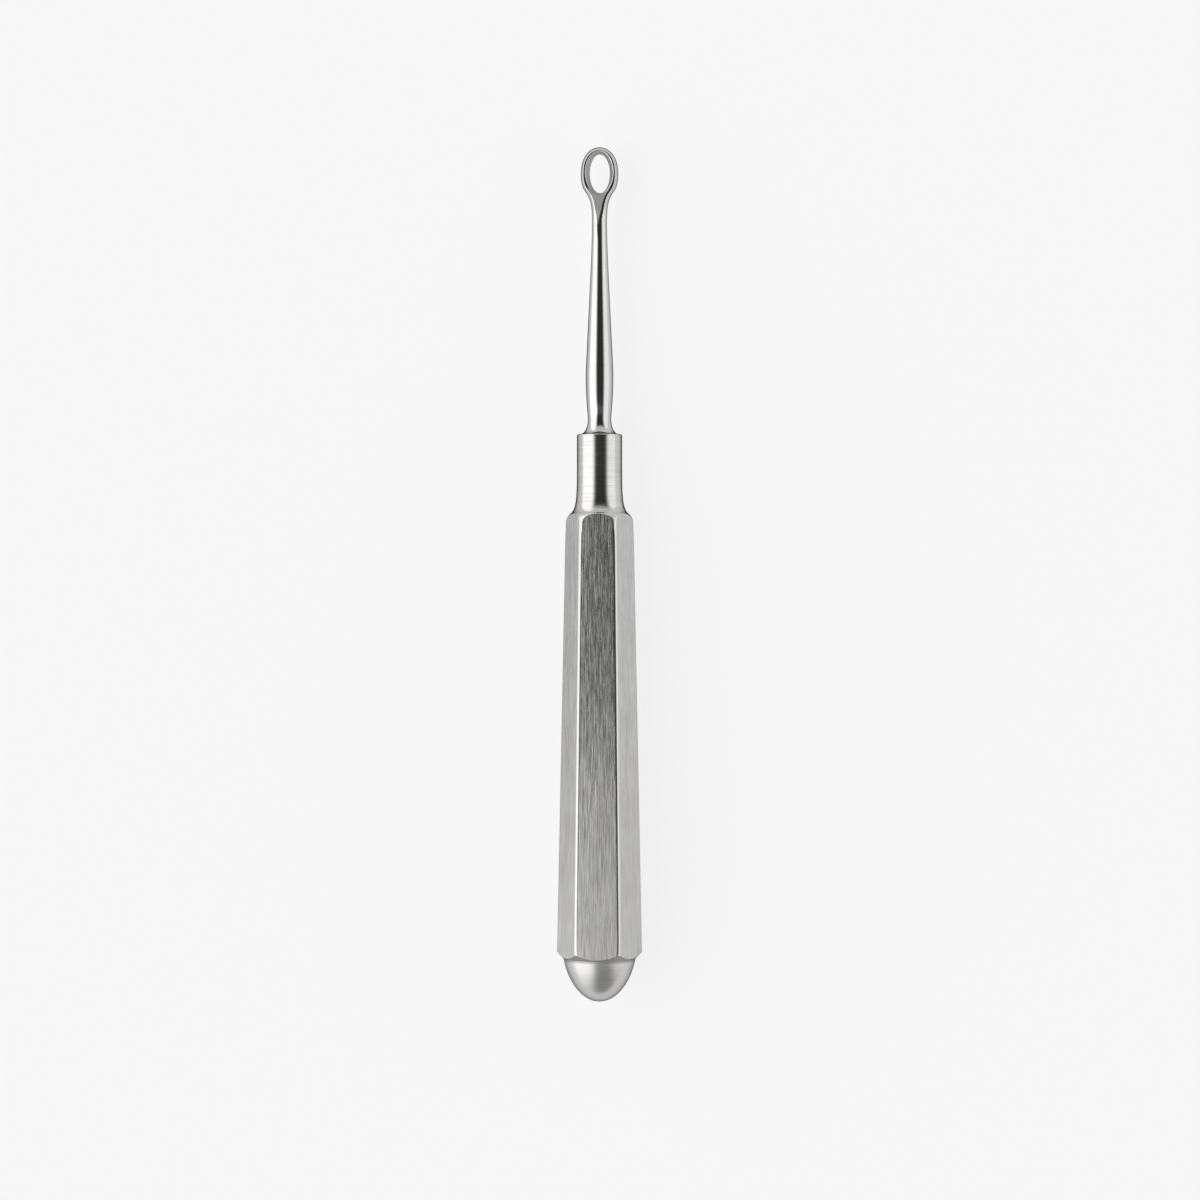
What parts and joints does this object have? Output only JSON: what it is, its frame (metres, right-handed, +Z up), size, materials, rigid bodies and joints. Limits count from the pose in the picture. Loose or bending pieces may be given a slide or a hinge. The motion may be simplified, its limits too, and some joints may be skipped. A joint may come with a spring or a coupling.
{
  "type": "dermal curette",
  "caption": "Steel dermal ring curette: tapered hexagonal handle with a domed butt, turned collar, slender bulged shank and a small oval loop with a ground face and a sharp rim.",
  "frame": {"origin": "centre of the underside of the bounding box, on the table under the middle of the curette as it lies on one facet", "axes": "+Y along the instrument from the domed butt towards the loop, +Z up, out of the facet opposite the one it lies on and out of the loop's sharp face, +X across"},
  "size_m": [0.014, 0.14, 0.0123],
  "materials": {
    "steel": "stainless steel: lengthwise brushed facets, satin turned butt and collar, polished shank, ground loop"
  },
  "bodies": {
    "root": {"curette": "steel"}
  },
  "joints": []
}
